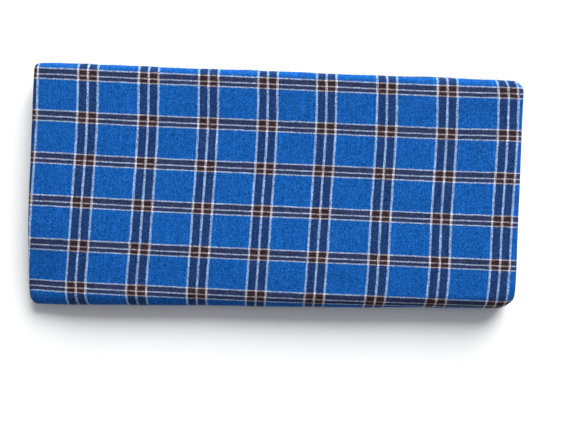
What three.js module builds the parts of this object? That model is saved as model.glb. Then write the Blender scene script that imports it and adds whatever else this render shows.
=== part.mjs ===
// A lungi folded flat into a long packet that lies on its underside.
// Units are millimetres. X runs along the packet, Y from its front fold to its back folds, Z up.
// The origin is on the resting plane, under the middle of the packet.
//
// The cloth is one woven length. It is folded in four across its width and halved four times
// along its length, so the packet is sixteen plies thick, and each ply is four layers of cloth.
// Seen from one end, the last halving is the big roll in front. Behind, the third halving is the
// upper roll; under it lie the two cut ends, the roll of the first halving and that of the second.
import * as THREE from 'three';

// ---- driving sizes ----
const LENGTH = 300; // a quarter of the cloth's width
const DEPTH_LEFT = 149; // front fold to back fold, at the left end
const DEPTH_RIGHT = 140; // the same at the right end: the packet narrows
const END_LEAN = 1.2; // how far an end's back corner stands to the right of its middle
const HEIGHT = 18; // sixteen plies of soft cloth, loosely pressed
const PLY = 1.1; // four layers of cloth, each a little over a quarter of a millimetre
const GAP = 0.3; // air between two stretches
const TAIL = 12; // how far a hidden stretch runs in behind its roll
const CUT_END_SETBACK = 1.4; // the two cut ends stop this far short of the upper roll
const FIRST_FOLD_SETBACK = 0.9; // and the roll of the first halving this far
const FIRST_FOLD_THICKNESS = 2.2; // two plies, pressed on each other
const TONGUE_THICKNESS = 1.4; // the two plies inside the lowest roll, pressed thinner

// The lower rolls lie a little askew under the upper one and reach further back.
const LOWER_REACH = 2.2; // past the upper roll, at the packet's middle
const LOWER_SKEW = 0.004; // and more by this for each millimetre to the right
const MIDDLE = 0.82; // they move the middle of the packet this far behind its outline's

// How the rolls draw in towards the ends and round the packet's corners, as seen from above:
// over this distance along the packet, by this much across it.
const CORNERS = {
  front: { left: { along: 5, across: 4 }, right: { along: 11, across: 5.5 } },
  back: { left: { along: 4, across: 1.5 }, right: { along: 8, across: 5 } },
  lowerBack: { left: { along: 5, across: 2 }, right: { along: 14, across: 7 } },
};
const CORNER_POWER = 2.2; // of the curve that a corner follows

// Soft sags of the packet's top below its full height, each with its centre, reach and drop.
const SAGS = [
  { x: -150, y: -72, reachX: 42, reachY: 46, drop: 1.7 }, // slack corner at the left of the front fold
  { x: -156, y: 0, reachX: 34, reachY: 400, drop: 1.6 }, // the left end slopes away
  { x: 153, y: 0, reachX: 12, reachY: 400, drop: 1.0 }, // the right end, pressed thin
  { x: -70, y: -74, reachX: 105, reachY: 27, drop: 2.3 }, // the front fold is slack left of the middle
  { x: 110, y: -80, reachX: 90, reachY: 20, drop: 1.2 }, // and firmer right of it
  { x: 10, y: 8, reachX: 95, reachY: 36, drop: 0.5 }, // shallow hollow in the middle
];

// Cross-sections stand at these distances from each end.
const STATIONS_FROM_END = [0, 0.7, 2, 4, 7, 12, 22, 45, 75, 112, 150];

const ARC_STEPS = 14; // flats round the front roll
const BACK_ARC_STEPS = 10; // flats round each back roll
const NOSE_STEPS = 4; // flats on each side of the first fold's nose
const CREASE_DEGREES = 12; // the first fold's crease is flat this far to each side of its tip
const FLAT_STEPS = 8; // flats from the front of a stretch to its back
const END_STEPS = 5; // flats along an end of the inner layers

const BLUE = 0x1c5fae;
const NAVY = 0x1f3c6e;
const STRIPED_GREY = 0x7d8fb5;

// ---- levels in the stack, worked out from the bottom ----
const TOP = { low: HEIGHT - PLY, high: HEIGHT };
const UNDER = { low: 0, high: PLY };
const TONGUE = { low: UNDER.high + GAP, high: UNDER.high + GAP + TONGUE_THICKNESS };
const UNDER_TAIL = { low: TONGUE.high + GAP, high: TONGUE.high + GAP + PLY };
const FIRST_FOLD = { low: UNDER_TAIL.high + GAP, high: UNDER_TAIL.high + GAP + FIRST_FOLD_THICKNESS };
const CUT_LOWER = { low: FIRST_FOLD.high + GAP, high: FIRST_FOLD.high + GAP + PLY };
const CUT_UPPER = { low: CUT_LOWER.high + GAP, high: CUT_LOWER.high + GAP + PLY };
const TOP_TAIL = { low: CUT_UPPER.high + GAP, high: CUT_UPPER.high + GAP + PLY };
const UPPER_NOSE = { low: TOP_TAIL.high + GAP, high: TOP.low - GAP };

const FRONT_RADIUS = HEIGHT / 2;
const UPPER_RADIUS = (TOP.high - TOP_TAIL.low) / 2;
const LOWER_RADIUS = (UNDER_TAIL.high - UNDER.low) / 2;

// ---- outline, seen from above ----
function halfDepth(x) {
  return (DEPTH_LEFT + DEPTH_RIGHT) / 4 - ((DEPTH_LEFT - DEPTH_RIGHT) * x) / (2 * LENGTH);
}

// How far an edge has drawn in at x, and how steeply it does so there.
function drawnIn({ left, right }, x) {
  const [corner, fromEnd] = x < 0 ? [left, x + LENGTH / 2] : [right, LENGTH / 2 - x];
  const run = Math.max(corner.along - fromEnd, 0) / corner.along;
  return {
    by: corner.across * run ** CORNER_POWER,
    slope: (corner.across * CORNER_POWER * run ** (CORNER_POWER - 1)) / corner.along,
  };
}

// A roll's reach at x. side is -1 in front and 1 behind; into() gives the y of a point that
// lies a distance into the packet from the edge, measured square to the edge.
function rollEdge(side, corners, x, shift = 0) {
  const { by, slope } = drawnIn(corners, x);
  const reach = side * (halfDepth(x) - by) + shift;
  const slant = Math.hypot(1, slope);
  return { into: (distance) => reach - side * distance * slant };
}

const frontEdge = (x) => rollEdge(-1, CORNERS.front, x);
const backEdge = (x) => rollEdge(1, CORNERS.back, x);
const lowerBackEdge = (x) => rollEdge(1, CORNERS.lowerBack, x, LOWER_REACH + LOWER_SKEW * x);

// Where the stretches that run in between the back rolls end, and the inner layers begin.
const tailRoot = (x) => backEdge(x).into(UPPER_RADIUS) - TAIL;

// The share of its full height that the packet has at a place.
function fullness(x, y) {
  let drop = 0;
  for (const sag of SAGS) {
    const u = (x - sag.x) / sag.reachX;
    const v = (y - sag.y) / sag.reachY;
    drop += sag.drop * Math.exp(-u * u - v * v);
  }
  return 1 - drop / HEIGHT;
}

// A place in the packet: x and y in plan, and its level in the unpressed stack.
function place(x, y, level) {
  const leaned = x + (END_LEAN * y) / halfDepth(0);
  return [leaned, y - MIDDLE, level * fullness(x, y)];
}

function stations(endInset) {
  const inner = STATIONS_FROM_END.filter((d) => d > endInset);
  const left = [endInset, ...inner].map((d) => d - LENGTH / 2);
  const right = [endInset, ...inner].map((d) => LENGTH / 2 - d).reverse();
  return [...left, ...right.slice(1)];
}

function spread(from, to, steps) {
  return Array.from({ length: steps + 1 }, (_, i) => from + ((to - from) * i) / steps);
}

// ---- meshes ----
// A closed mesh from its points, a list of [x, y, z], and its triangles, lists of three indices.
function solid(name, points, triangles, color) {
  const geometry = new THREE.BufferGeometry();
  geometry.setAttribute('position', new THREE.Float32BufferAttribute(points.flat(), 3));
  geometry.setIndex(triangles.flat());
  geometry.computeVertexNormals();
  const material = new THREE.MeshStandardMaterial({ color, roughness: 0.85, metalness: 0 });
  const mesh = new THREE.Mesh(geometry, material);
  mesh.name = name;
  return mesh;
}

function quad(a, b, c, d) {
  return [[a, b, c], [a, c, d]];
}

// A wall of cloth. section(x) gives its outer and inner lines at one station, as lists of
// [y, level] of one length; the outer line turns anticlockwise seen from the right end.
function wall(name, section, color, endInset = 0) {
  const points = [];
  const triangles = [];
  const xs = stations(endInset);
  let count = 0;
  for (const x of xs) {
    const { outer, inner } = section(x);
    count = outer.length;
    for (const [y, level] of outer) points.push(place(x, y, level));
    for (const [y, level] of inner) points.push(place(x, y, level));
  }
  const ring = 2 * count;
  const out = (s, i) => s * ring + i;
  const inn = (s, i) => s * ring + count + i;
  const last = count - 1;
  const end = xs.length - 1;
  for (let s = 0; s < end; s++) {
    for (let i = 0; i < last; i++) {
      triangles.push(...quad(out(s, i), out(s, i + 1), out(s + 1, i + 1), out(s + 1, i)));
      triangles.push(...quad(inn(s, i), inn(s + 1, i), inn(s + 1, i + 1), inn(s, i + 1)));
    }
    triangles.push(...quad(out(s, 0), out(s + 1, 0), inn(s + 1, 0), inn(s, 0)));
    triangles.push(...quad(out(s, last), inn(s, last), inn(s + 1, last), out(s + 1, last)));
  }
  for (let i = 0; i < last; i++) {
    triangles.push(...quad(out(0, i), inn(0, i), inn(0, i + 1), out(0, i + 1)));
    triangles.push(...quad(out(end, i), out(end, i + 1), inn(end, i + 1), inn(end, i)));
  }
  return solid(name, points, triangles, color);
}

// Points [y, level] round a roll's nose, as lists of one radius about a centre that lies depth
// into the packet. Angles are in degrees: 0 is the nose's tip, 90 its top and -90 its bottom.
function nose(edge, depth, centreLevel, radius, fromDegrees, toDegrees, steps) {
  return spread(fromDegrees, toDegrees, steps).map((degrees) => {
    const turn = THREE.MathUtils.degToRad(degrees);
    return [edge.into(depth - radius * Math.cos(turn)), centreLevel + radius * Math.sin(turn)];
  });
}

// ---- the stretches that show ----
// The top, from the front fold to the upper back roll, round it and in as far as its tail.
function topStretch() {
  return wall('top_stretch', (x) => {
    const edge = backEdge(x);
    const start = frontEdge(x).into(FRONT_RADIUS + GAP);
    const centreLevel = TOP.high - UPPER_RADIUS;
    const line = (level, radius, tailLevel) => [
      [tailRoot(x), tailLevel],
      ...nose(edge, UPPER_RADIUS, centreLevel, radius, -90, 90, BACK_ARC_STEPS),
      ...spread(edge.into(UPPER_RADIUS), start, FLAT_STEPS).slice(1).map((y) => [y, level]),
    ];
    return {
      outer: line(TOP.high, UPPER_RADIUS, TOP_TAIL.low),
      inner: line(TOP.low, UPPER_RADIUS - PLY, TOP_TAIL.high),
    };
  }, BLUE);
}

// The roll in front, which the last halving makes.
function frontRoll() {
  return wall('front_roll', (x) => {
    const around = (radius) =>
      nose(frontEdge(x), FRONT_RADIUS, HEIGHT / 2, radius, 90, -90, ARC_STEPS);
    return { outer: around(FRONT_RADIUS), inner: around(FRONT_RADIUS - PLY) };
  }, BLUE);
}

// The flat underside, round the lowest back roll and in as far as its tail.
function underStretch() {
  return wall('under_stretch', (x) => {
    const edge = lowerBackEdge(x);
    const start = frontEdge(x).into(FRONT_RADIUS + GAP);
    const line = (level, radius, tailLevel) => [
      ...spread(start, edge.into(LOWER_RADIUS), FLAT_STEPS).slice(0, -1).map((y) => [y, level]),
      ...nose(edge, LOWER_RADIUS, LOWER_RADIUS, radius, -90, 90, BACK_ARC_STEPS),
      [edge.into(LOWER_RADIUS) - TAIL, tailLevel],
    ];
    return {
      outer: line(UNDER.low, LOWER_RADIUS, UNDER_TAIL.high),
      inner: line(UNDER.high, LOWER_RADIUS - PLY, UNDER_TAIL.low),
    };
  }, BLUE);
}

// One of the cloth's two cut ends, a flat ply that shows between the back rolls.
function cutEnd(name, levels) {
  return wall(name, (x) => {
    const ys = [tailRoot(x), lowerBackEdge(x).into(CUT_END_SETBACK)];
    return { outer: ys.map((y) => [y, levels.low]), inner: ys.map((y) => [y, levels.high]) };
  }, NAVY, STATIONS_FROM_END[1]);
}

// The roll of the first halving: two plies pressed together, with a round nose.
function firstFold() {
  return wall('first_fold', (x) => {
    const radius = FIRST_FOLD_THICKNESS / 2;
    const middle = (FIRST_FOLD.low + FIRST_FOLD.high) / 2;
    const root = tailRoot(x);
    const depth = FIRST_FOLD_SETBACK + radius;
    const quarter = (side) =>
      nose(lowerBackEdge(x), depth, middle, radius, side * 90, side * CREASE_DEGREES, NOSE_STEPS);
    return {
      outer: [[root, FIRST_FOLD.low], ...quarter(-1)],
      inner: [[root, FIRST_FOLD.high], ...quarter(1)],
    };
  }, NAVY, STATIONS_FROM_END[1]);
}

// ---- the hidden layers ----
// One rounded solid with a rib for each ply all round its edge.
const RIB_ROUND = 0.14; // a rib's full reach starts this far from the groove beside it
const GROOVE = 0.8; // depth of the groove between two ribs
const RAGGED = 0.35; // how unevenly the plies end
const RAGGED_TURN = 2.3; // radians from one ply's raggedness to the next

// How far the round edge of a stack between two levels stands back from its tip at a level.
function standsBack(stack, level) {
  const radius = (stack.high - stack.low) / 2;
  const off = Math.min(Math.abs(level - (stack.high + stack.low) / 2), radius);
  return radius - Math.sqrt(radius * radius - off * off);
}

// The hidden plies from the bottom up, in stacks that each have their own back edge.
const ALL_HIDDEN = { low: TONGUE.low, high: UPPER_NOSE.high };
const BEHIND_TAILS = { low: TONGUE.high, high: UPPER_NOSE.low };
const STACKS = [
  { stack: TONGUE, plies: 2 },
  { stack: BEHIND_TAILS, plies: 6 },
  { stack: UPPER_NOSE, plies: 6 },
];

// The levels of the solid's rings from the bottom up, each with its stretch of the back edge.
function ringLevels() {
  const levels = [];
  for (const { stack, plies } of STACKS) {
    const pitch = (stack.high - stack.low) / plies;
    for (let k = 0; k < plies; k++) {
      const low = stack.low + k * pitch;
      const high = low + pitch;
      const ply = { stack, ragged: RAGGED * Math.sin(RAGGED_TURN * levels.length) };
      levels.push({ ...ply, level: low, groove: GROOVE });
      levels.push({ ...ply, level: low + RIB_ROUND, groove: 0 });
      levels.push({ ...ply, level: high - RIB_ROUND, groove: 0 });
      if (k === plies - 1) levels.push({ ...ply, level: high, groove: GROOVE });
    }
  }
  return levels;
}

function innerLayers() {
  const endInset = STATIONS_FROM_END[1];
  const backReach = (x, ring) => {
    if (ring.stack === BEHIND_TAILS) return tailRoot(x) - GAP;
    const edge = ring.stack === TONGUE ? lowerBackEdge(x) : backEdge(x);
    return edge.into(PLY + GAP + standsBack(ring.stack, ring.level));
  };
  const outline = (ring) => {
    const xs = stations(endInset);
    xs[0] += ring.groove + RAGGED + ring.ragged;
    xs[xs.length - 1] -= ring.groove + RAGGED - ring.ragged;
    const front = (x) => frontEdge(x).into(PLY + GAP + standsBack(ALL_HIDDEN, ring.level));
    return { xs, front, back: (x) => backReach(x, ring) };
  };
  const points = [];
  const triangles = [];
  const rings = ringLevels();
  for (const ring of rings) {
    const { xs, front, back } = outline(ring);
    const left = xs[0];
    const right = xs[xs.length - 1];
    const rightEnd = spread(front(right), back(right), END_STEPS).slice(1, -1);
    const leftEnd = spread(back(left), front(left), END_STEPS).slice(1, -1);
    for (const x of xs) points.push(place(x, front(x), ring.level));
    for (const y of rightEnd) points.push(place(right, y, ring.level));
    for (const x of [...xs].reverse()) points.push(place(x, back(x), ring.level));
    for (const y of leftEnd) points.push(place(left, y, ring.level));
  }
  const count = points.length / rings.length;
  for (let r = 0; r < rings.length - 1; r++) {
    for (let i = 0; i < count; i++) {
      const j = (i + 1) % count;
      triangles.push(...quad(r * count + i, r * count + j, (r + 1) * count + j, (r + 1) * count + i));
    }
  }
  const last = rings.length - 1;
  addCap(points, triangles, outline(rings[0]), rings[0].level, 0, false);
  addCap(points, triangles, outline(rings[last]), rings[last].level, last * count, true);
  return solid('inner_layers', points, triangles, STRIPED_GREY);
}

// Closes the top or bottom ring with a grid whose border is that ring.
function addCap(points, triangles, { xs, front, back }, level, first, facesUp) {
  const across = xs.length;
  const at = [];
  for (let j = 0; j <= END_STEPS; j++) {
    const row = [];
    for (let i = 0; i < across; i++) {
      if (j === 0) row.push(first + i);
      else if (j === END_STEPS) row.push(first + 2 * across + END_STEPS - 2 - i);
      else if (i === across - 1) row.push(first + across - 1 + j);
      else if (i === 0) row.push(first + 2 * across + 2 * END_STEPS - 2 - j);
      else {
        const y = front(xs[i]) + ((back(xs[i]) - front(xs[i])) * j) / END_STEPS;
        row.push(points.length);
        points.push(place(xs[i], y, level));
      }
    }
    at.push(row);
  }
  for (let j = 0; j < END_STEPS; j++) {
    for (let i = 0; i < across - 1; i++) {
      const [a, b, c, d] = [at[j][i], at[j][i + 1], at[j + 1][i + 1], at[j + 1][i]];
      triangles.push(...(facesUp ? quad(a, b, c, d) : quad(a, d, c, b)));
    }
  }
}

const group = new THREE.Group();
group.add(topStretch());
group.add(frontRoll());
group.add(underStretch());
group.add(cutEnd('cut_end_upper', CUT_UPPER));
group.add(cutEnd('cut_end_lower', CUT_LOWER));
group.add(firstFold());
group.add(innerLayers());

export default group;
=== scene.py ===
import math
from collections import namedtuple

import bpy
import numpy as np
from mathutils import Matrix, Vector


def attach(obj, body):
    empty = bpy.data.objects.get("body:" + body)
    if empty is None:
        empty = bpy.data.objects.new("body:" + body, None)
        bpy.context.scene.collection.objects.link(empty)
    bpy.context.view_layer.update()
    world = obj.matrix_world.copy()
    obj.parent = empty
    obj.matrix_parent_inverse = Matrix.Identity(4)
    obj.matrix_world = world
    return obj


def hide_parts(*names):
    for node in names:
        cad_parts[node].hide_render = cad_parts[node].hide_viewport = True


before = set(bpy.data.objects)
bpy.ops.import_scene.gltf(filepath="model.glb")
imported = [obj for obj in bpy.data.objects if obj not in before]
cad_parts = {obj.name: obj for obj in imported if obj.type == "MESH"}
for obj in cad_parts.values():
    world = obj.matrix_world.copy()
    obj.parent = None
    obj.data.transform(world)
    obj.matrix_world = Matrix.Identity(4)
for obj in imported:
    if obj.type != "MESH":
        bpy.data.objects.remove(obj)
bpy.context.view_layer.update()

bl_info = {
    "name": "Folded lungi",
    "version": (1, 0, 0),
    "blender": (4, 5, 0),
    "location": "3D View > Sidebar > Lungi",
    "description": "Builds a checked cotton lungi, folded into a flat packet",
    "category": "Add Mesh",
}

# The cloth is folded in four across its width and halved four times along its length, which
# gives sixteen plies of four layers each. Ply 1 is on top and ply 16 lies on the floor.
# X runs along the packet, Y from its front fold to its back folds, Z up. Shapes are made in
# metres. The tables, the cloth's own map and the weave's sizes are in millimetres.
MM = 0.001
PLIES = 16
LAYERS = 4
CLOTH_MAP = "cloth"
BAKE_MAP = "OFBake"

# ---- the packet's outline, as the frame has it ----
MIDDLE = 0.82 * MM  # the rolls' middle lies this far in front of the box's middle
CORNER_POWER = 2.2  # of the curve that draws a roll in round a corner
CORNERS = {  # over this distance along the packet, by this much across it
    "front": ((5 * MM, 4 * MM), (11 * MM, 5.5 * MM)),
    "back": ((4 * MM, 1.5 * MM), (8 * MM, 5 * MM)),
    "lower back": ((5 * MM, 2 * MM), (14 * MM, 7 * MM)),
}
TAIL = 12 * MM  # the stretch that shows runs this far in behind each back roll

# Hollows, in millimetres and degrees: the middle's x and y, the length and width from there
# to where a third of the depth is left, the turn from the X axis, and the depth. A negative
# depth is a ridge.
SAGS = (  # of the whole packet
    (-156, -72, 34, 36, 0, 5.0),  # slack corner at the left of the front fold
    (-158, 0, 22, 400, 0, 2.4),  # the left end slopes away
    (153, 0, 12, 400, 0, 1.0),  # the right end, pressed thin
    (-70, -76, 105, 32, 0, 3.1),  # the front fold is slack left of the middle
    (110, -80, 90, 25, 0, 1.6),  # and firmer right of it
    (10, 8, 95, 36, 0, 0.5),  # shallow hollow in the middle
)
TOP_CREASES = (  # that the folding left
    (-98, 52, 24, 6.5, 84, -0.34),
    (-106, 55, 26, 6.0, 80, 0.30),
    (-61, 14, 40, 8.0, 97, 0.13),
    (-122, -8, 34, 9.0, 74, 0.22),
    (-62, -27, 11, 5.0, 118, 0.20),
    (-18, 44, 46, 9.0, 6, 0.14),
    (-2, -50, 64, 6.5, 2, -0.20),
    (38, -55, 22, 5.5, 164, 0.20),
    (31, 21, 30, 7.5, 101, -0.12),
    (70, -12, 38, 9.5, 12, 0.15),
    (104, 30, 30, 8.0, 63, 0.16),
    (124, 47, 36, 8.5, 7, 0.36),
    (126, 56, 34, 5.5, 5, -0.22),
    (118, -38, 25, 7.0, 106, 0.14),
    (-132, -52, 26, 6.5, 38, 0.28),
    (-88, -58, 38, 6.0, 9, 0.24),
)
UNDER_CREASES = (  # the lowest ply bridges these, a little above the floor
    (-112, 18, 34, 8.0, 88, 0.22),
    (-70, -30, 52, 6.5, 12, 0.26),
    (-24, 36, 44, 7.5, 171, 0.18),
    (14, -46, 60, 6.0, 4, 0.28),
    (58, 12, 40, 9.0, 95, 0.17),
    (96, -22, 36, 7.0, 150, 0.24),
    (126, 40, 28, 6.5, 20, 0.21),
)
BRIDGED = 0.3  # share of the height over which a bridged hollow fades upwards

# Slow waves, each with its length, swing and phase, in millimetres and radians.
ROLL_WAVES = {  # of a roll's reach along the packet
    "front": ((143, 0.16, 0.4), (61, 0.10, 2.1), (23, 0.05, 4.0)),
    "back": ((118, 0.12, 1.3), (47, 0.09, 0.2), (19, 0.05, 3.1)),
    "lower back": ((97, 0.20, 2.6), (38, 0.13, 5.2), (15, 0.07, 1.9)),
}
RAGGED_LEFT = ((211, 0.22, 0.3), (83, 0.20, 1.9), (31, 0.10, 4.4))  # along the cloth
RAGGED_RIGHT = ((187, 0.20, 3.3), (71, 0.22, 0.8), (27, 0.10, 2.2))
RAGGED_MEAN = 0.52  # the plies' ends wander about this setback, in millimetres
OUTER_CARE = 0.3  # and those of the stretch that shows by this share of that
LEFT_DRAW = 0.6 * MM  # the top and bottom plies' left ends are drawn in by this much
RIGHT_DRAW = 1.1 * MM  # and their right ends by this much
# Of a cut layer's end, with the phase moved on for each layer.
CUT_WAVES = ((130, 0.22, 0.7), (41, 0.16, 2.9), (9.5, 0.07, 1.1), (3.7, 0.05, 4.2))

# ---- the folds ----
# The plies in the order in which the cloth runs through them, from one cut end to the other.
CLOTH_ORDER = (9, 8, 1, 16, 13, 4, 5, 12, 11, 6, 3, 14, 15, 2, 7, 10)
FIRST_STRETCH = CLOTH_ORDER[:2]
OUTER_STRETCH = CLOTH_ORDER[1:5]
LAST_STRETCH = CLOTH_ORDER[4:]
UPPER_ROLL = (1, 8)  # the outermost plies of each roll behind
LOWER_ROLL = (13, 16)
FIRST_FOLD = (11, 12)
CUT_PLIES = (9, 10)
UNEVEN_PLIES = 0.07  # swing of the wave that spaces the plies a little unevenly
UNEVEN_TURN = 2.1  # radians of that wave from one ply to the next
STRETCH_GAP = 0.3 * MM  # between two stretches' ends, inside the packet

# ---- a ply's ends ----
# At the left a ply ends in one fold and in the cloth's two woven edges. Each row is a
# distance in from the end in millimetres, and a place through the ply from its outer side,
# -0.5, to its inner side, 0.5. At the right it ends in a double fold, a half circle.
LEFT_END = (
    *((0.16, -0.44), (0.00, -0.32), (0.00, -0.19), (0.13, -0.07), (0.75, 0.00)),  # the fold
    *((0.24, 0.05), (0.26, 0.20), (0.85, 0.25), (0.40, 0.30), (0.42, 0.46)),  # the edges
)
RIGHT_END_FLATS = 8
END_INSET = 0.7 * MM  # the ply's flat faces start this far in from an end

# ---- how finely the shapes are drawn ----
OUTER_NEAR_END = (0, 0.6, 1.4, 2.6, 4.2, 6.2, 8.6, 11.4, 14)  # columns, mm from the inset
OUTER_COLUMN = 2.0 * MM
INNER_NEAR_END = (0, 0.8, 2.2, 4.6, 8, 14)
INNER_COLUMN = 24 * MM
STEP_LENGTHS = {1: 2.0 * MM, 16: 3.6 * MM}  # by ply, where it isn't the inner step
INNER_STEP = 3.4 * MM
FINEST_FLAT = 0.75 * MM  # length of the flats round a turn
FEWEST_FLATS = 6

# ---- how a piece's picture is laid out when its colours are baked ----
SHOWN_ROWS = (0.11, 0.995)  # the side that shows, from the stretch's start to its end
HIDDEN_ROWS = (0.005, 0.100)
CAP_ROWS = (0.1015, 0.1085)
END_SHARE = 0.12  # of the chart's width, for the rounded ends
BAKE_MARGIN = 0.004
CELL_MARGIN = 0.1  # in the row or cell of one cut layer or thread
THREAD_CELL = (0.5, 0.4)  # where a thread starts across its cell, and how wide it is there

# ---- the cut ends ----
CUT_COLUMNS = 260
CUT_SHARES = (0, 0.35, 0.65, 0.85, 0.96, 1)  # of the way from a loose layer's root to its end
CUT_PHASE = 1.9  # radians from one layer's waves to the next
CUT_UNEVEN = 0.45  # how far one layer ends short of another, in millimetres
SPLAY_WAVES = ((90, 0.05, 0.4), (33, 0.04, 2.0))  # of a loose layer's level at its end
LAYER_FILL = 0.8  # share of a layer's room that its thread fills
THREADS = 44
THREAD_SEED = 16
THREAD_FROM_END = 6 * MM  # no thread starts nearer than this to the packet's ends
THREAD_SPREAD = 0.35  # of a ply, how far above or below its middle a thread starts
THREAD_ROOT = 1.2  # it starts this many millimetres inside the cut end, comes out as far
THREAD_OUT = (0.3, 1.1)  # and goes on by a length between these
THREAD_BEND = 1.3  # at most, to one side
THREAD_DROOP = 0.7
THREAD_RADIUS = 0.11
THREAD_THINNING = 0.5  # share of the radius that its tip has lost
THREAD_COLOURS = 50  # millimetres of cloth from which the threads take their colours
THREAD_RINGS = 8
THREAD_SIDES = 6

# ---- how unevenly the cloth lies ----
# Waves of a place on the cloth: millimetres across and along for a radian, swing and phase.
ACROSS_DRIFT = ((40, 900, -0.75, 3.0), (27, 90, 0.10, 2.0))
ALONG_DRIFT = ((85, 70, 0.25, 0.5), (31, 48, 0.12, 3.4))
# Places where the check has slipped, in millimetres of cloth: the middle across and along,
# the reach each way, and how far it has moved to the right and to the back.
SLIPS = (
    (-100, -82, 55, 9, 1.7, 0.0),  # over the front fold, left half
    (-105, -57, 60, 15, -0.8, 0.0),  # and behind it
    (105, -54, 60, 28, 1.4, 0.0),  # the right half, near the front
    (30, 10, 17, 200, -0.5, 0.0),  # one band, right of the middle
    (0, 80, 400, 32, -2.5, 0.0),  # over the back fold
    (142, 76, 28, 9, -2.2, 0.0),  # and more of it at the right
    (0, -40, 400, 9, 0.0, -0.8),  # the rows near the front
    (0, -62, 400, 12, 0.0, -0.4),
    (-150, 25, 32, 60, 0.0, 0.6),  # both ends
    (150, 30, 34, 50, 0.0, 0.6),
)

# ---- the lines' edges ----
WAVER = 0.30  # millimetres by which a line wavers
WAVER_SQUARE = 0.35  # grains of that for each millimetre square to the line
WAVER_ALONG = 0.16  # and along it
SOFT_EDGE = 0.16  # half the width of a line's edge, in millimetres

# ---- the threads' unevenness, as shares of the cloth's colour ----
DOTS_APART = 1000  # whole threads between the noise of a white line's dots and the grain's
COLUMN_SHOWN = 1.05  # how much of a lengthwise white line shows where it is clearest
COLUMN_DOTTED = 0.7  # how far the threads that cross it hide it
COLUMN_PATCHY = 0.6  # and how far soft patches do
ROW_DOTTED = 0.6  # how far the threads that cross a crosswise white line hide it
BROWN_FLECK = 0.4  # share of brown in a crosswise dark thread
CROSSING_GRAIN = 1.0  # from one crossing of two threads to another
# Painted shade: each crossing is drawn darker at its edges, where the threads dip, and lighter in
# its middle.
KNOT_EDGE = 0.3  # how much darker a thread's crossing is at its edge than in its middle
KNOT_MEAN = 0.4  # the mean over a crossing of how near its edge a point is
KNOT_POWER = 4
MOTTLE = 0.4  # from one soft patch to another
MOTTLE_GRAIN = 1.15  # patches for each millimetre
WARP_STREAK = 0.22  # along lengthwise threads
WEFT_STREAK = 0.12  # along crosswise ones
STREAK_SQUARE = 1.5  # streaks for each millimetre square to the threads
STREAK_ALONG = 0.05  # and along them
SLUB = 0.5  # added to the lightest lengthwise threads
SLUB_RANGE = (0.66, 0.80)  # of their streaks' noise, from no slub to all of it
LINT = 0.02  # how much pale lint lies on the crossings that have most of it
LINT_POWER = 4  # a higher power leaves fewer of them
BUMP = 0.35
BUMP_HEIGHT = 0.12 * MM
CUT_FRAY = 0.2  # added to the bump at the cut ends
COTTON = {  # how it takes the light
    "Roughness": 0.9,
    "Specular IOR Level": 0.1,
    "Sheen Weight": 0.08,
    "Sheen Roughness": 0.45,
    "Sheen Tint": (0.35, 0.65, 1.0, 1.0),
}

# ---- the stage ----
FLOOR_LEVEL = -0.05 * MM
FLOOR_COLOUR = (0.9, 0.905, 0.91)
FLOOR_ROUGHNESS = 0.9
KEY_FROM = (0.30, 0.81, 0.45)
KEY_SPREAD = math.radians(42)
FILL_FROM = (0.1, 0.2, 1.0)
FILL_SPREAD = math.radians(90)
SURROUND_COLOUR = (0.94, 0.97, 1.0)
SENSOR = 36.0  # millimetres
CLIP_NEAR = 0.01
CLIP_FAR = 20.0

# Points in metres, their places on the cloth in millimetres, the faces, and each face
# corner's place in the bake map.
Shell = namedtuple("Shell", "points cloth faces bake")


def number(name, description, default, **settings):
    return bpy.props.FloatProperty(name=name, description=description, default=default, **settings)


def measure(name, description, default):
    """A length in metres."""
    return number(name, description, default, unit="LENGTH")


class PacketSizes(bpy.types.PropertyGroup):
    """The folded packet's sizes."""

    length: measure("Length", "A quarter of the cloth's width", 300 * MM)
    depth_left: measure("Depth at the left", "From the front fold to the back one", 149 * MM)
    depth_right: measure("Depth at the right", "From the front fold to the back one", 140 * MM)
    end_lean: measure("Lean of the ends", "Of a back corner, to the right", 1.2 * MM)
    height: measure("Height", "Sixteen plies of soft cloth, loosely pressed", 18 * MM)
    ply: measure("Ply", "Thickness of four layers of cloth", 1.02 * MM)
    cut_end_setback: measure("Setback of the cut ends", "From the lower roll", 1.4 * MM)
    first_fold_setback: measure("Setback of the first fold", "From the lower roll", 0.9 * MM)
    lower_reach: measure("Reach of the lower rolls", "Past the upper roll", 2.2 * MM)
    lower_skew: number("Skew of the lower rolls", "More reach for a length to the right", 0.004)


class WeaveSizes(bpy.types.PropertyGroup):
    """The woven check's sizes, in millimetres of cloth."""

    column_pitch: number("Column pitch", "From one lengthwise band to the next", 36.47)
    column_gap: number("Column gap", "From a band's middle line to its outer lines", 5.95)
    column_line: number("Column line", "Width of a lengthwise white line", 1.32)
    column_start: number("Column start", "Place of one band's middle line", -6.7)
    column_lean: number("Column lean", "Drift of the bands for a length of cloth", 0.0337)
    row_pitch: number("Row pitch", "From one crosswise band to the next", 25.86)
    row_back_gap: number("Row gap behind", "From a band's middle line to its back one", 3.70)
    row_front_gap: number("Row gap in front", "From its middle line to its front one", 2.77)
    row_line: number("Row line", "Width of a crosswise white line", 0.76)
    row_start: number("Row start", "Place of one band's middle line", 12.2)
    row_lean: number("Row lean", "Drift of the bands for a length along the packet", 0.0187)
    thread: number("Thread", "From one thread to the next", 0.48)


def screen_colour(name, red, green, blue):
    """A colour given as screen values of 0 to 255, and kept as light by the usual curve."""
    screen = np.array((red, green, blue)) / 255
    light = np.where(screen <= 0.04045, screen / 12.92, ((screen + 0.055) / 1.055) ** 2.4)
    return bpy.props.FloatVectorProperty(
        name=name, default=light.tolist(), subtype="COLOR", min=0, max=1
    )


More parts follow.
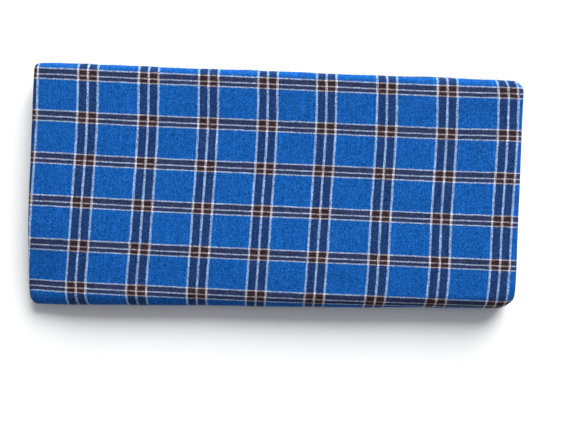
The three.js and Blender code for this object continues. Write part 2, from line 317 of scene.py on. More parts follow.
class WeaveColours(bpy.types.PropertyGroup):
    """The cloth's colour wherever one kind of lengthwise thread crosses one of crosswise."""

    ground: screen_colour("Blue over blue", 2, 80, 156)
    dark_column: screen_colour("Dark lengthwise on blue", 16, 49, 99)
    white_column: screen_colour("White lengthwise on blue", 144, 173, 214)
    dark_row: screen_colour("Dark crosswise on blue", 33, 49, 88)
    dark_crossing: screen_colour("Dark over dark", 42, 25, 29)
    white_on_dark_row: screen_colour("White lengthwise on dark", 172, 164, 172)
    white_row: screen_colour("White crosswise on blue", 158, 174, 202)
    white_on_dark_column: screen_colour("White crosswise on dark", 154, 142, 144)
    white_crossing: screen_colour("White over white", 232, 232, 242)


class StageSizes(bpy.types.PropertyGroup):
    """The floor, the lights and the camera."""

    camera_height: measure("Camera height", "Above the middle of the rolls", 0.409)
    camera_place: bpy.props.FloatVectorProperty(
        name="Camera place",
        description="Where the camera hangs over the packet",
        default=(9.2 * MM, -16.76 * MM),
        subtype="XYZ_LENGTH",
        size=2,
    )
    camera_turn: number("Camera turn", "Anticlockwise", math.radians(1.39), subtype="ANGLE")
    view_width: measure("View width", "At the middle of the rolls", 357.9 * MM)
    floor_size: measure("Floor", "Width of the floor", 6.0)
    key_strength: number("Key light", "Strength of the soft light from behind", 6.2)
    fill_strength: number("Fill light", "Strength of the soft light from above", 0.47)
    surround: number("Surround", "Strength of the light from all round", 0.2)


# ---- the packet's shape ----
def waves(rows, along, shift=0.0):
    """The sum of a table's sine waves at places along, in millimetres of swing."""
    total = 0.0
    for length, swing, phase in rows:
        total = total + swing * np.sin(2 * math.pi * along / (length * MM) + phase + shift)
    return total


def bells(rows, x, y):
    """The summed depth of a table's hollows: each is a bell along its length times a bell
    across its width, turned about its middle."""
    total = 0.0
    for at_x, at_y, length, width, turn, depth in rows:
        cos = math.cos(math.radians(turn))
        sin = math.sin(math.radians(turn))
        dx = x / MM - at_x
        dy = y / MM - at_y
        along = dx * cos + dy * sin
        across = dy * cos - dx * sin
        total = total + depth * MM * np.exp(-((along / length) ** 2) - (across / width) ** 2)
    return total


def place(sizes, x, y, level):
    """Points of the packet from x, y and the level in the unpressed stack. The ends lean by
    a shear, sags and creases scale the height, and the lowest plies bridge small hollows."""
    lean = sizes.end_lean * y / ((sizes.depth_left + sizes.depth_right) / 4)
    fullness = 1 - (bells(SAGS, x, y) + bells(TOP_CREASES, x, y)) / sizes.height
    bridged = np.clip(1 - level / (BRIDGED * sizes.height), 0, 1)
    z = level * fullness + bells(UNDER_CREASES, x, y) * bridged
    return np.stack(np.broadcast_arrays(x + lean, y - MIDDLE, z), axis=-1)


def edge(sizes, name, x, distance):
    """The y of points that lie a distance into the packet from one roll's outermost line,
    measured square to it. The line is half the packet's tapered depth from the middle, drawn
    in near the corners by a power of the way into them, and waves a little."""
    side = -1.0 if name == "front" else 1.0
    taper = (sizes.depth_left - sizes.depth_right) / (2 * sizes.length)
    reach = (sizes.depth_left + sizes.depth_right) / 4 - taper * x
    left, right = CORNERS[name]
    along = np.where(x < 0, left[0], right[0])
    across = np.where(x < 0, left[1], right[1])
    run = np.clip(along - (sizes.length / 2 - np.abs(x)), 0, None) / along
    reach = reach - across * run**CORNER_POWER + waves(ROLL_WAVES[name], x) * MM
    slope = across * CORNER_POWER * run ** (CORNER_POWER - 1) / along
    shift = sizes.lower_reach + sizes.lower_skew * x if name == "lower back" else 0.0
    return side * reach + shift - side * distance * np.hypot(1.0, slope)


def ply_levels(sizes):
    """The level of each ply's middle, by ply number: almost evenly spaced, with the outermost
    plies' outer faces at the packet's height and on the floor."""
    pitch = 1 + UNEVEN_PLIES * np.sin(UNEVEN_TURN * np.arange(1, PLIES))
    down = np.concatenate([[0.0], np.cumsum(pitch)])
    levels = sizes.height - sizes.ply / 2 - (sizes.height - sizes.ply) * down / down[-1]
    return dict(enumerate(levels, start=1))


# ---- the cloth's way through the packet ----
def back_turn(sizes, levels, ply):
    """The back edge near which a ply turns, and the depth of its turn's centre. The turns of
    one roll share the centre of its outermost turn. A cut end's depth is where its loose
    layers begin."""
    for name, (high, low), setback in (
        ("back", UPPER_ROLL, 0.0),
        ("lower back", LOWER_ROLL, 0.0),
        ("lower back", FIRST_FOLD, sizes.first_fold_setback),
    ):
        if high <= ply <= low:
            return name, (levels[high] - levels[low] + sizes.ply) / 2 + setback
    return "lower back", sizes.cut_end_setback + TAIL


def steps(sizes, levels, ply, count, **columns):
    """Steps along the cloth, a dict with one value for each step of each column: share, from
    0 at the back turn to 1 at the front turn; lower, 1 where the back edge is the lower one;
    back_depth and front_depth of the turns' centres; and the radius, degrees, level and
    outward of a turn. degrees are 0 at its tip and 90 at its top, level is its centre's, and
    outward is 1 where the ply's inner side is further from it and -1 where it is nearer."""
    name, back_depth = back_turn(sizes, levels, ply)
    given = {
        "lower": float(name == "lower back"),
        "back_depth": back_depth,
        "front_depth": sizes.height / 2,
        "radius": 0.0,
        "degrees": 90.0,
        **columns,
    }
    return {key: np.broadcast_to(value, (count,)) for key, value in given.items()}


def flat_steps(sizes, levels, ply, shares):
    """Steps along a ply's flat run, at shares of the way that the cloth takes."""
    to_front = CLOTH_ORDER.index(ply) % 2 == 0
    share = shares if to_front else 1 - shares
    outward = -1.0 if to_front else 1.0
    return steps(sizes, levels, ply, len(shares), share=share, level=levels[ply], outward=outward)


def turn_steps(sizes, levels, ply, next_ply):
    """Steps round the half circle from one ply to the next, without its two ends."""
    in_front = CLOTH_ORDER.index(ply) % 2 == 0
    up = levels[next_ply] > levels[ply]
    radius = abs(levels[next_ply] - levels[ply]) / 2
    flats = max(FEWEST_FLATS, int(math.pi * (radius + sizes.ply / 2) / FINEST_FLAT))
    degrees = np.linspace(-90, 90, flats + 1)[1:-1]
    turn = {
        "share": float(in_front),
        "radius": radius,
        "degrees": degrees if up else -degrees,
        "level": (levels[next_ply] + levels[ply]) / 2,
        "outward": 1.0 if up == in_front else -1.0,
    }
    return steps(sizes, levels, ply, flats - 1, **turn)


def stretch_way(sizes, levels, plies, first_from, last_to):
    """The steps of a stretch of plies. Its first ply starts at the share first_from of its
    flat run, and its last ply ends at the share last_to."""
    run = (sizes.depth_left + sizes.depth_right) / 2 - sizes.height
    parts = []
    for k, ply in enumerate(plies):
        start = first_from if k == 0 else 0.0
        end = last_to if k == len(plies) - 1 else 1.0
        count = max(int((end - start) * run / STEP_LENGTHS.get(ply, INNER_STEP)), 2)
        parts.append(flat_steps(sizes, levels, ply, np.linspace(start, end, count + 1)))
        if k + 1 < len(plies):
            parts.append(turn_steps(sizes, levels, ply, plies[k + 1]))
    return {key: np.concatenate([part[key] for part in parts]) for key in parts[0]}


def cloth_points(sizes, way, x, side):
    """Points of the cloth. x has a row for each step of the way and a column for each place
    across the cloth, and side is the distance from the ply's middle towards its inner side.
    Round a turn the distance from its centre is the radius plus or minus side; on a flat run
    the level is the ply's plus or minus side."""
    column = {key: values[:, None] for key, values in way.items()}
    turn = np.radians(column["degrees"])
    from_centre = column["radius"] + column["outward"] * side
    level = column["level"] + from_centre * np.sin(turn)
    nearer = np.where(column["radius"] > 0, from_centre * np.cos(turn), 0.0)
    front = edge(sizes, "front", x, column["front_depth"] - nearer)
    upper = edge(sizes, "back", x, column["back_depth"] - nearer)
    lower = edge(sizes, "lower back", x, column["back_depth"] - nearer)
    back = upper + (lower - upper) * column["lower"]
    return place(sizes, x, back + (front - back) * column["share"], level)


def lengths_along(points):
    """The running length down the first axis of a grid of points."""
    runs = np.linalg.norm(np.diff(points, axis=0), axis=-1)
    return np.concatenate([np.zeros((1, *runs.shape[1:])), np.cumsum(runs, axis=0)])


def middle_length(sizes, way):
    """The running length of cloth at the packet's middle, at each step of a way."""
    return lengths_along(cloth_points(sizes, way, np.zeros((len(way["share"]), 1)), 0.0))[:, 0]


class FoldedCloth:
    """The whole cloth's way: each stretch's steps, and the length of cloth before it."""

    def __init__(self, sizes):
        self.sizes = sizes
        self.levels = ply_levels(sizes)
        upper = back_turn(sizes, self.levels, UPPER_ROLL[0])[1]
        run = (sizes.depth_left + sizes.depth_right) / 2 - sizes.height / 2 - upper
        tail = TAIL / run
        apart = STRETCH_GAP / run
        self.first = stretch_way(sizes, self.levels, FIRST_STRETCH, 0.0, 1 - tail - apart)
        self.outer = stretch_way(sizes, self.levels, OUTER_STRETCH, 1 - tail, tail)
        self.last = stretch_way(sizes, self.levels, LAST_STRETCH, tail + apart, 1.0)
        self.outer_start = middle_length(sizes, self.first)[-1]
        self.last_start = self.outer_start + middle_length(sizes, self.outer)[-1]
        self.total = self.last_start + middle_length(sizes, self.last)[-1]
        # The step of the outer stretch that lies on top, nearest to the packet's middle.
        on_top = (self.outer["level"] == self.levels[1]) & (self.outer["radius"] == 0)
        self.top_step = int(np.flatnonzero(on_top)[on_top.sum() // 2])

    def zero_length(self):
        """The length of cloth at the middle of the top."""
        x = np.zeros((len(self.outer["share"]), 1))
        y = cloth_points(self.sizes, self.outer, x, 0.0)[self.top_step, 0, 1] + MIDDLE
        return self.outer_start + middle_length(self.sizes, self.outer)[self.top_step] + y


# ---- a ply's section ----
def spaced_columns(sizes, near_end, spacing):
    """Places along a ply's flat faces, as shares: close together near both ends and evenly
    spaced between."""
    total = sizes.length - 2 * END_INSET
    first = np.array(near_end) * MM
    inner = total - 2 * first[-1]
    count = max(int(round(inner / spacing)), 1)
    middle = first[-1] + inner * np.arange(1, count) / count
    return np.concatenate([first, middle, (total - first)[::-1]]) / total


def ply_section(sizes, columns):
    """The closed outline of a ply's section as three arrays: the share of the way along the
    packet, the distance past that place, and the distance from the ply's middle towards its
    inner side. It runs to the right along the outer side, round the double fold, back along
    the inner side, and over the woven edges and the single fold at the left."""
    half = sizes.ply / 2
    flat = len(columns)
    turn = np.radians(np.linspace(-90, 90, RIGHT_END_FLATS + 1)[1:-1])
    left_in, through = np.array(LEFT_END[::-1], float).T
    past = (np.zeros(flat), END_INSET * np.cos(turn), np.zeros(flat), left_in * MM - END_INSET)
    side = (np.full(flat, -half), half * np.sin(turn), np.full(flat, half), through * sizes.ply)
    share = (columns, np.ones(len(turn)), columns[::-1], np.zeros(len(left_in)))
    return tuple(np.concatenate(parts) for parts in (share, past, side))


def swept_faces(count, ring, caps):
    """The quads between neighbours of count rings, with ring points in each, and the caps
    that close the first ring and, turned over, the last."""
    i = np.arange(ring)
    j = (i + 1) % ring
    first = np.arange(count - 1)[:, None] * ring
    quads = np.stack([first + i, first + ring + i, first + ring + j, first + j], axis=-1)
    faces = quads.reshape(-1, 4).tolist()
    for start, way in ((0, 1), ((count - 1) * ring, -1)):
        faces.extend([start + v for v in cap][::way] for cap in caps)
    return faces


def shell_faces(step_count, flat):
    """The faces of a stretch whose section has flat columns on each side, and each face's
    chart: 0 for the outer side with both rounded ends, 1 for the inner side, and 2 for the
    ends of the stretch, which quads between the two sides close."""
    right_end = RIGHT_END_FLATS - 1
    ring = 2 * flat + right_end + len(LEFT_END)
    over_first = 2 * flat + right_end - 1  # the inner side's point over the outer side's first
    caps = [[a, a + 1, over_first - a - 1, over_first - a] for a in range(flat - 1)]
    caps.append(list(range(flat - 1, flat + right_end + 1)))
    caps.append([*range(over_first, ring), 0])
    hidden = np.zeros(ring, int)
    hidden[flat + right_end : over_first] = 1
    charts = np.r_[np.tile(hidden, step_count - 1), np.full(2 * len(caps), 2)]
    return swept_faces(step_count, ring, caps), charts


def bake_corners(points, faces, charts, flat, along):
    """Each face corner's place in the bake map. Across, the outer side's chart runs from the
    inner side's left column round the left end, along the outer side and round the right
    end, and its rounded ends are widened; up, every chart follows the cloth. along is each
    step's place in the chart, from 0 to 1."""
    right_end = RIGHT_END_FLATS - 1
    ring = points.shape[1]
    over_first = 2 * flat + right_end - 1
    order = np.r_[over_first:ring, 0 : flat + right_end + 1]
    section = points[len(points) // 2]
    lengths = np.linalg.norm(np.diff(section[order], axis=0), axis=1)
    in_end = np.ones(len(lengths), bool)
    in_end[ring - over_first : ring - over_first + flat - 1] = False
    lengths[in_end] *= END_SHARE * lengths.sum() / lengths[in_end].sum()
    shown = np.zeros(ring)
    shown[order] = np.r_[0, np.cumsum(lengths)] / lengths.sum()
    hidden = np.zeros(ring)
    hidden[flat + right_end : over_first + 1] = np.linspace(1, 0, flat)
    hidden[:flat] = np.linspace(0, 1, flat)
    corners = np.concatenate(faces)
    chart = np.repeat(charts, [len(face) for face in faces])
    in_ring = corners % ring
    across = np.where(chart == 0, shown[in_ring], hidden[in_ring])
    low, high = np.array([SHOWN_ROWS, HIDDEN_ROWS, CAP_ROWS]).T
    on_inner_side = (in_ring >= flat) & (in_ring <= over_first)
    up = np.where(chart == 2, on_inner_side, along[corners // ring])
    margin = BAKE_MARGIN + (1 - 2 * BAKE_MARGIN) * across
    return np.stack([margin, low[chart] + (high - low)[chart] * up], axis=-1)


def stretch_shell(folded, way, start, columns, care, follow_each):
    """A stretch of cloth as a closed shell: a ply's section carried along the steps of a way,
    its two ends wandering by the ragged waves times care. The cloth's map gives each point's
    x, and its length of cloth from the middle of the top, positive to the back. The length
    is each column's own where follow_each is true, and otherwise the middle's."""
    sizes = folded.sizes
    share, past, side = ply_section(sizes, columns)
    half = sizes.length / 2 - END_INSET
    along = start + middle_length(sizes, way)
    level = way["level"] + way["radius"] * np.sin(np.radians(way["degrees"]))
    drawn = (2 * level / sizes.height - 1) ** 2
    left = LEFT_DRAW * drawn + care * MM * (RAGGED_MEAN + waves(RAGGED_LEFT, along)) - half
    right = half - RIGHT_DRAW * drawn - care * MM * (RAGGED_MEAN + waves(RAGGED_RIGHT, along))
    x = left[:, None] + (right - left)[:, None] * share + past
    points = cloth_points(sizes, way, x, side)
    back_of_top = folded.zero_length() - np.repeat(along[:, None], x.shape[1], axis=1)
    if follow_each:
        centre = cloth_points(sizes, way, x, 0.0)
        own = lengths_along(centre)
        back_of_top = centre[folded.top_step, :, 1] + MIDDLE + own[folded.top_step] - own
    cloth = np.stack([x, back_of_top], axis=-1) / MM
    faces, charts = shell_faces(len(along), len(columns))
    bake = bake_corners(points, faces, charts, len(columns), along / folded.total)
    return Shell(points.reshape(-1, 3), cloth.reshape(-1, 2), faces, bake)


# ---- the cut ends and their threads ----
def cut_layer(folded, ply, layer):
    """One layer of cloth at a cut end: a thin closed strip along the packet. It starts where
    the ply's solid run ends, is level with its place in the ply, and ends at a line that
    wanders by the cut waves."""
    sizes = folded.sizes
    half = sizes.length / 2 - END_INSET
    x = np.linspace(-half, half, CUT_COLUMNS + 1)[:, None]
    share = np.array(CUT_SHARES)[None, :]
    phase = CUT_PHASE * (ply * LAYERS + layer)
    setback = sizes.cut_end_setback + CUT_UNEVEN * MM * (1 + math.sin(phase))
    setback = setback + waves(CUT_WAVES, x, phase) * MM
    root = edge(sizes, "lower back", x, sizes.cut_end_setback + TAIL)
    y = root + (edge(sizes, "lower back", x, setback) - root) * share
    pitch = sizes.ply / LAYERS
    level = folded.levels[ply] + (layer - (LAYERS - 1) / 2) * pitch
    level = level + waves(SPLAY_WAVES, x, phase) * MM * share**2
    thick = pitch * LAYER_FILL / 2
    top = place(sizes, x, y, level + thick)
    under = place(sizes, x, y, level - thick)
    points = np.concatenate([top, under[:, ::-1]], axis=1)
    ring = points.shape[1]
    from_root = np.linalg.norm(points[:, :1] - points, axis=2)
    back_of_top = folded.zero_length() + from_root
    if ply != CLOTH_ORDER[0]:
        back_of_top = folded.zero_length() - folded.total - from_root
    cloth = np.stack([np.repeat(x, ring, axis=1), back_of_top], axis=-1) / MM
    caps = [[a, a + 1, ring - a - 2, ring - a - 1] for a in range(ring // 2 - 1)]
    faces = swept_faces(CUT_COLUMNS + 1, ring, caps)
    corners = np.concatenate(faces)
    row = (ply - min(CUT_PLIES)) * LAYERS + layer
    around = CELL_MARGIN + (1 - 2 * CELL_MARGIN) * (corners % ring) / ring
    up = (row + around) / (len(CUT_PLIES) * LAYERS)
    across = BAKE_MARGIN + (1 - 2 * BAKE_MARGIN) * (corners // ring) / CUT_COLUMNS
    bake = np.stack([across, up], axis=-1)
    return Shell(points.reshape(-1, 3), cloth.reshape(-1, 2), faces, bake)


def loose_thread(folded, number, draw):
    """One thread that has come out of a cut end: a thin closed tube along a short arc that
    leaves the cloth level with it and bends to one side and down."""
    sizes = folded.sizes
    ply = CUT_PLIES[number % len(CUT_PLIES)]
    x0 = draw.uniform(-1, 1) * (sizes.length / 2 - THREAD_FROM_END)
    level = folded.levels[ply] + draw.uniform(-THREAD_SPREAD, THREAD_SPREAD) * sizes.ply
    out = draw.uniform(*THREAD_OUT)
    bend = draw.uniform(-1, 1) * THREAD_BEND * MM
    droop = draw.uniform(0, 1) * THREAD_DROOP * MM
    t = np.linspace(0, 1, THREAD_RINGS)
    reach = (THREAD_ROOT * (2 * t - 1) + out * np.sin(t * math.pi / 2)) * MM
    x = x0 + bend * t**2
    y = edge(sizes, "lower back", x, sizes.cut_end_setback - reach)
    centre = place(sizes, x, y, level - droop * t**2)
    ahead = np.gradient(centre, axis=0)
    ahead /= np.linalg.norm(ahead, axis=1)[:, None]
    sideways = np.cross(ahead, [0.0, 0.0, 1.0])
    sideways /= np.linalg.norm(sideways, axis=1)[:, None]
    upward = np.cross(sideways, ahead)
    turn = np.linspace(0, 2 * math.pi, THREAD_SIDES, endpoint=False)[None, :, None]
    radius = THREAD_RADIUS * MM * (1 - THREAD_THINNING * t**3)[:, None, None]
    ring = np.cos(turn) * sideways[:, None] + np.sin(turn) * upward[:, None]
    points = (centre[:, None] + radius * ring).reshape(-1, 3)
    faces = swept_faces(THREAD_RINGS, THREAD_SIDES, [list(range(THREAD_SIDES))])
    cloth = np.broadcast_to([x0 / MM, draw.uniform(0, THREAD_COLOURS)], (len(points), 2))
    corners = np.concatenate(faces)
    around = THREAD_CELL[0] + THREAD_CELL[1] * (corners % THREAD_SIDES) / THREAD_SIDES
    up = CELL_MARGIN + (1 - 2 * CELL_MARGIN) * (corners // THREAD_SIDES) / THREAD_RINGS
    return Shell(points, cloth, faces, np.stack([(number + around) / THREADS, up], axis=-1))


# ---- objects ----
def cloth_object(name, shells, material, nodes):
    """One mesh object from several shells, with the cloth's map and the bake map on it. The
    cloth's map is drawn askew and sheared by the bands' leans. The object rides on the
    frame's one body and stands for the frame's nodes."""
    weave = bpy.context.scene.lungi_weave
    points = np.concatenate([shell.points for shell in shells])
    starts = np.cumsum([0] + [len(shell.points) for shell in shells])
    faces = [
        [start + v for v in face] for start, shell in zip(starts, shells) for face in shell.faces
    ]
    cloth = np.concatenate([shell.cloth for shell in shells])
    across, along = drawn_askew(cloth[:, 0], cloth[:, 1])
    leaning = (across - weave.column_lean * along, along + weave.row_lean * across)
    cloth = np.stack(leaning, axis=-1)
    mesh = bpy.data.meshes.new(name)
    mesh.from_pydata(points, [], faces)
    corner = np.zeros(len(mesh.loops), np.int32)
    mesh.loops.foreach_get("vertex_index", corner)
    bake = np.concatenate([shell.bake for shell in shells])
    for map_name, values in ((CLOTH_MAP, cloth[corner]), (BAKE_MAP, bake)):
        layer = mesh.uv_layers.new(name=map_name)
        layer.uv.foreach_set("vector", np.ascontiguousarray(values, np.float32).ravel())
    mesh.uv_layers[BAKE_MAP].active_render = True
    mesh.polygons.foreach_set("use_smooth", np.ones(len(mesh.polygons), bool))
    mesh.materials.append(material)
    mesh.update()
    piece = bpy.data.objects.new(name, mesh)
    bpy.context.scene.collection.objects.link(piece)
    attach(piece, "root")
    if nodes:
        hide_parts(*nodes)
    return piece


def drift(rows, across, along):
    """The sum of a table's slow sine waves of a place on the cloth."""
    return sum(
        swing * np.sin(across / by_across + along / by_along + phase)
        for by_across, by_along, swing, phase in rows
    )


def drawn_askew(across, along):
    """Places on the cloth moved by how unevenly the cloth lies: by the drift either way, less
    a bell for each slip, in millimetres."""
    moved_across = drift(ACROSS_DRIFT, across, along)
    moved_along = drift(ALONG_DRIFT, across, along)
    for at_across, at_along, reach_across, reach_along, by_across, by_along in SLIPS:
        way_off = ((across - at_across) / reach_across) ** 2
        way_off = way_off + ((along - at_along) / reach_along) ** 2
        moved_across = moved_across - by_across * np.exp(-way_off)
        moved_along = moved_along - by_along * np.exp(-way_off)
    return across + moved_across, along + moved_along


# ---- the woven check ----
class Weave:
    """Builds one material's nodes. Sockets and numbers go in, and sockets come out."""

    def __init__(self, name):
        self.material = bpy.data.materials.new(name)
        self.material.use_nodes = True
        self.tree = self.material.node_tree
        self.tree.nodes.clear()

    def node(self, kind, inputs=(), **settings):
        made = self.tree.nodes.new("ShaderNode" + kind)
        for key, value in settings.items():
            setattr(made, key, value)
        for key, value in dict(inputs).items():
            if isinstance(value, bpy.types.NodeSocket):
                self.tree.links.new(value, made.inputs[key])
            else:
                made.inputs[key].default_value = value
        return made

    def math(self, operation, *values, clamp=False):
        inputs = dict(enumerate(values))
        return self.node("Math", inputs, operation=operation, use_clamp=clamp).outputs[0]

    def mix(self, share, *colours):
        """One colour with a share of another. Input 0 is the share, and 6 and 7 are colours."""
        given = [c if isinstance(c, bpy.types.NodeSocket) else (*c, 1.0) for c in colours]
        inputs = {0: share, 6: given[0], 7: given[1]}
        return self.node("Mix", inputs, data_type="RGBA").outputs[2]

    def pair(self, across, along):
        return self.node("CombineXYZ", {"X": across, "Y": along}).outputs[0]

    def noise(self, across, along, grains_across, grains_along, detail=0.0):
        """Soft noise of about 0 to 1, with so many grains for each millimetre either way."""
        at_across = self.math("MULTIPLY", across, grains_across)
        at_along = self.math("MULTIPLY", along, grains_along)
        inputs = {"Vector": self.pair(at_across, at_along), "Scale": 1.0, "Detail": detail}
        return self.node("TexNoise", inputs, noise_dimensions="2D").outputs["Fac"]

    def grain(self, across, along):
        """Even noise of 0 to 1, one value for each whole pair of its two places."""
        cell = {"Vector": self.pair(self.math("FLOOR", across), self.math("FLOOR", along))}
        return self.node("TexWhiteNoise", cell, noise_dimensions="2D").outputs["Value"]

    def knot(self, across, along):
        """How near the edge of its whole pair of places a point is: 0 in the middle, 1 at an
        edge's middle, and 2 in a corner, by a power of the way there."""
        edges = []
        for threads in (across, along):
            way = self.math("MULTIPLY_ADD", self.math("FRACT", threads), 2.0, -1.0)
            edges.append(self.math("POWER", self.math("ABSOLUTE", way), KNOT_POWER))
        return self.math("ADD", *edges)

    def from_band(self, where, start, pitch):
        """The distance from the nearest band's middle line: the place in one pitch."""
        turns = self.math("MULTIPLY_ADD", where, 1 / pitch, 0.5 - start / pitch)
        return self.math("MULTIPLY_ADD", self.math("FRACT", turns), pitch, -pitch / 2)

    def within(self, distance, half_width, soft):
        """1 within a half width, 0 past it, with an edge 2 soft wide."""
        falls = {"From Min": half_width - soft, "From Max": half_width + soft}
        inputs = {"Value": distance, **falls, "To Min": 1.0, "To Max": 0.0}
        return self.node("MapRange", inputs).outputs[0]

    def off(self, distance, line):
        """The distance to a line that lies at one distance from a band's middle."""
        return self.math("ABSOLUTE", self.math("SUBTRACT", distance, line))


def woven_check(name, fray=0.0):
    """The checked cotton. Across the cloth and along it, the distance from the nearest band
    says whether a thread is blue, dark or white, and the cloth's colour is that of the two
    threads that cross. Thread by thread and in soft patches the colour is a little lighter
    or darker, and some threads are slubbed."""
    weave = bpy.context.scene.lungi_weave
    colour = bpy.context.scene.lungi_colours
    w = Weave(name)
    cloth = w.node("UVMap", uv_map=CLOTH_MAP).outputs[0]
    parts = w.node("SeparateXYZ", {0: cloth}).outputs
    across, along = parts[0], parts[1]

    # The lines waver by less than a thread.
    waver_across = w.noise(across, along, WAVER_SQUARE, WAVER_ALONG)
    waver_along = w.noise(across, along, WAVER_ALONG, WAVER_SQUARE)
    column_place = w.math("MULTIPLY_ADD", waver_across, WAVER, across)
    row_place = w.math("MULTIPLY_ADD", waver_along, WAVER, along)

    column = w.math("ABSOLUTE", w.from_band(column_place, weave.column_start, weave.column_pitch))
    outer_line = w.off(column, weave.column_gap)
    white_column = w.within(w.math("MINIMUM", column, outer_line), weave.column_line / 2, SOFT_EDGE)
    dark_column = w.within(column, weave.column_gap, SOFT_EDGE)

    row = w.from_band(row_place, weave.row_start, weave.row_pitch)
    nearest = w.math("MINIMUM", w.math("ABSOLUTE", row), w.off(row, weave.row_back_gap))
    nearest = w.math("MINIMUM", nearest, w.off(row, -weave.row_front_gap))
    white_row = w.within(nearest, weave.row_line / 2, SOFT_EDGE)
    row_middle = (weave.row_back_gap - weave.row_front_gap) / 2
    row_half = (weave.row_back_gap + weave.row_front_gap) / 2
    dark_row = w.within(w.off(row, row_middle), row_half, SOFT_EDGE)

    # The threads themselves.
    finely_across = w.math("DIVIDE", across, weave.thread)
    finely_along = w.math("DIVIDE", along, weave.thread)
    crossing = w.grain(finely_across, finely_along)
    mottle = w.noise(across, along, MOTTLE_GRAIN, MOTTLE_GRAIN, detail=1.0)
    warp_streak = w.noise(across, along, STREAK_SQUARE, STREAK_ALONG)
    weft_streak = w.noise(across, along, STREAK_ALONG, STREAK_SQUARE)
    dots = w.grain(w.math("ADD", finely_across, DOTS_APART), finely_along)
    least = COLUMN_SHOWN - COLUMN_DOTTED - COLUMN_PATCHY / 2
    patchy = w.math("MULTIPLY_ADD", mottle, COLUMN_PATCHY, least)
    shown = w.math("MULTIPLY_ADD", dots, COLUMN_DOTTED, patchy, clamp=True)
    white_column = w.math("MULTIPLY", white_column, shown)
    shown = w.math("MULTIPLY_ADD", dots, ROW_DOTTED, 1 - ROW_DOTTED)
    white_row = w.math("MULTIPLY", white_row, shown)
    brown_share = w.math("MULTIPLY", dark_row, w.math("MULTIPLY", dots, BROWN_FLECK))

    def across_rows(plain, dark, white):
        return w.mix(white_row, w.mix(dark_row, plain, dark), white)

    flecked_row = w.mix(brown_share, colour.dark_row, colour.dark_crossing)
    blue = across_rows(colour.ground, flecked_row, colour.white_row)
    dark = across_rows(colour.dark_column, colour.dark_crossing, colour.white_on_dark_column)
    white = across_rows(colour.white_column, colour.white_on_dark_row, colour.white_crossing)
    woven = w.mix(white_column, w.mix(dark_column, blue, dark), white)

    level = w.math("MULTIPLY_ADD", crossing, CROSSING_GRAIN, 1 - CROSSING_GRAIN / 2)
    streaks = ((mottle, MOTTLE), (warp_streak, WARP_STREAK), (weft_streak, WEFT_STREAK))
    for pattern, strength in streaks:
        level = w.math("MULTIPLY_ADD", w.math("SUBTRACT", pattern, 0.5), strength, level)
    slub_from, slub_to = SLUB_RANGE
    steep = {"Value": warp_streak, "From Min": slub_from, "From Max": slub_to, "To Max": SLUB}
    slub = w.node("MapRange", steep).outputs[0]
    level = w.math("ADD", level, w.math("MULTIPLY", slub, mottle))
    # Painted shade where the threads dip at the edges of each crossing, and lighter colour on their
    # middles.
    knot = w.knot(finely_across, finely_along)
    lit = w.math("MULTIPLY_ADD", knot, -KNOT_EDGE, 1 + KNOT_EDGE * KNOT_MEAN)
    level = w.math("MULTIPLY", level, lit)
    shade = w.node("VectorMath", {0: woven, "Scale": level}, operation="SCALE")
    lint = w.math("MULTIPLY", w.math("POWER", crossing, LINT_POWER), LINT)
    shade = w.node("VectorMath", {0: shade.outputs[0], 1: lint}, operation="ADD")
    relief = {"Height": mottle, "Strength": BUMP + fray, "Distance": BUMP_HEIGHT}
    bump = w.node("Bump", relief)
    finish = {"Base Color": shade.outputs[0], "Normal": bump.outputs[0], **COTTON}
    shader = w.node("BsdfPrincipled", finish)
    out = w.node("OutputMaterial", {"Surface": shader.outputs[0]})
    out.is_active_output = True
    return w.material


def pale_floor():
    """The floor's smooth matt finish."""
    w = Weave("pale floor")
    finish = {"Base Color": (*FLOOR_COLOUR, 1.0), "Roughness": FLOOR_ROUGHNESS}
    w.node("OutputMaterial", {"Surface": w.node("BsdfPrincipled", finish).outputs[0]})
    return w.material


# ---- operators ----
class LUNGI_OT_outer_cloth(bpy.types.Operator):
    """Makes the stretch that shows: the top, the front roll, the underside and the two
    outermost back rolls"""

    bl_idname = "lungi.outer_cloth"
    bl_label = "Outer cloth"

    def execute(self, context):
        folded = FoldedCloth(context.scene.lungi_packet)
        columns = spaced_columns(folded.sizes, OUTER_NEAR_END, OUTER_COLUMN)
        shell = stretch_shell(
            folded, folded.outer, folded.outer_start, columns, OUTER_CARE, follow_each=True
        )
        material = woven_check("checked cotton")
        nodes = ("top_stretch", "front_roll", "under_stretch")
        piece = cloth_object("outer_cloth", [shell], material, nodes)
        return {"FINISHED"}


class LUNGI_OT_inner_plies(bpy.types.Operator):
    """Makes the two stretches that are folded inside, one on each side of the outer one"""

    bl_idname = "lungi.inner_plies"
    bl_label = "Inner plies"

    def execute(self, context):
        folded = FoldedCloth(context.scene.lungi_packet)
        columns = spaced_columns(folded.sizes, INNER_NEAR_END, INNER_COLUMN)
        shells = [
            stretch_shell(folded, way, start, columns, 1.0, follow_each=False)
            for way, start in ((folded.first, 0.0), (folded.last, folded.last_start))
        ]
        material = woven_check("checked cotton inside")
        nodes = ("inner_layers", "first_fold")
        piece = cloth_object("inner_plies", shells, material, nodes)
        return {"FINISHED"}


class LUNGI_OT_cut_ends(bpy.types.Operator):
    """Makes the four loose layers at each of the cloth's two cut ends, and their threads"""

    bl_idname = "lungi.cut_ends"
    bl_label = "Cut ends"

    def execute(self, context):
        folded = FoldedCloth(context.scene.lungi_packet)
        material = woven_check("checked cotton at the cut", fray=CUT_FRAY)
        layers = [cut_layer(folded, ply, layer) for ply in CUT_PLIES for layer in range(LAYERS)]
        nodes = ("cut_end_upper", "cut_end_lower")
        cloth_object("cut_layers", layers, material, nodes)
        draw = np.random.default_rng(THREAD_SEED)
        threads = [loose_thread(folded, number, draw) for number in range(THREADS)]
        cloth_object("loose_threads", threads, material, ())
        return {"FINISHED"}


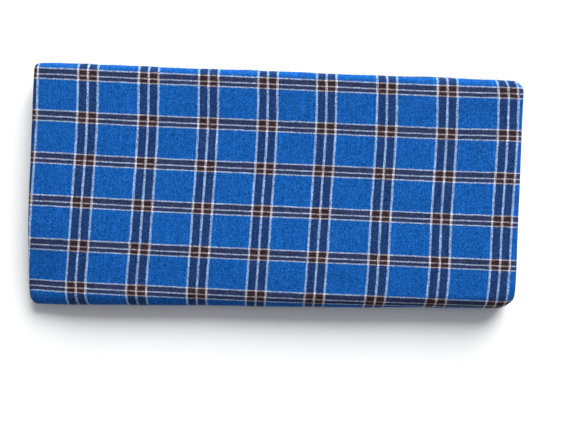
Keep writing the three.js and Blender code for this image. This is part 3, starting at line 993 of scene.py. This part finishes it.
class LUNGI_OT_stage(bpy.types.Operator):
    """Makes the floor, the soft lights and the camera above the packet"""

    bl_idname = "lungi.stage"
    bl_label = "Stage"

    def execute(self, context):
        scene = context.scene
        stage = scene.lungi_stage
        half = stage.floor_size / 2
        mesh = bpy.data.meshes.new("floor")
        corners = ((-half, -half), (half, -half), (half, half), (-half, half))
        mesh.from_pydata([(x, y, FLOOR_LEVEL) for x, y in corners], [], [(0, 1, 2, 3)])
        mesh.materials.append(pale_floor())
        floor = bpy.data.objects.new("floor", mesh)
        scene.collection.objects.link(floor)

        for name, strength, towards, spread in (
            ("key light", stage.key_strength, KEY_FROM, KEY_SPREAD),
            ("fill light", stage.fill_strength, FILL_FROM, FILL_SPREAD),
        ):
            lamp = bpy.data.lights.new(name, "SUN")
            lamp.energy = strength
            lamp.angle = spread
            light = bpy.data.objects.new(name, lamp)
            light.rotation_euler = Vector(towards).to_track_quat("Z", "Y").to_euler()
            scene.collection.objects.link(light)

        world = bpy.data.worlds.new("soft surround")
        world.use_nodes = True
        background = world.node_tree.nodes["Background"]
        background.inputs["Color"].default_value = (*SURROUND_COLOUR, 1.0)
        background.inputs["Strength"].default_value = stage.surround
        scene.world = world
        scene.view_settings.view_transform = "Standard"

        lens = bpy.data.cameras.new("camera over the packet")
        lens.sensor_width = SENSOR
        lens.lens = lens.sensor_width * stage.camera_height / stage.view_width
        lens.clip_start = CLIP_NEAR
        lens.clip_end = CLIP_FAR
        camera = bpy.data.objects.new("camera", lens)
        above = scene.lungi_packet.height / 2 + stage.camera_height
        camera.location = (*stage.camera_place, above)
        camera.rotation_euler = (0.0, 0.0, stage.camera_turn)
        scene.collection.objects.link(camera)
        scene.camera = camera
        return {"FINISHED"}


class LUNGI_PT_panel(bpy.types.Panel):
    """Lists the operators and the sizes"""

    bl_label = "Folded lungi"
    bl_space_type = "VIEW_3D"
    bl_region_type = "UI"
    bl_category = "Lungi"

    def draw(self, context):
        for operator in OPERATORS:
            self.layout.operator(operator.bl_idname)
        for name in SETTINGS:
            box = self.layout.box()
            settings = getattr(context.scene, name)
            for key in settings.__annotations__:
                box.prop(settings, key)


OPERATORS = (
    LUNGI_OT_outer_cloth,
    LUNGI_OT_cut_ends,
    LUNGI_OT_inner_plies,
    LUNGI_OT_stage,
)
SETTINGS = {
    "lungi_packet": PacketSizes,
    "lungi_weave": WeaveSizes,
    "lungi_colours": WeaveColours,
    "lungi_stage": StageSizes,
}


CLASSES = (*SETTINGS.values(), *OPERATORS, LUNGI_PT_panel)


def register():
    for made in CLASSES:
        bpy.utils.register_class(made)
    for name, made in SETTINGS.items():
        setattr(bpy.types.Scene, name, bpy.props.PointerProperty(type=made))


def unregister():
    for name in SETTINGS:
        delattr(bpy.types.Scene, name)
    for made in reversed(CLASSES):
        bpy.utils.unregister_class(made)


def main():
    register()
    bpy.ops.lungi.outer_cloth()
    bpy.ops.lungi.cut_ends()
    bpy.ops.lungi.inner_plies()
    bpy.ops.lungi.stage()


if __name__ == "__main__":
    main()
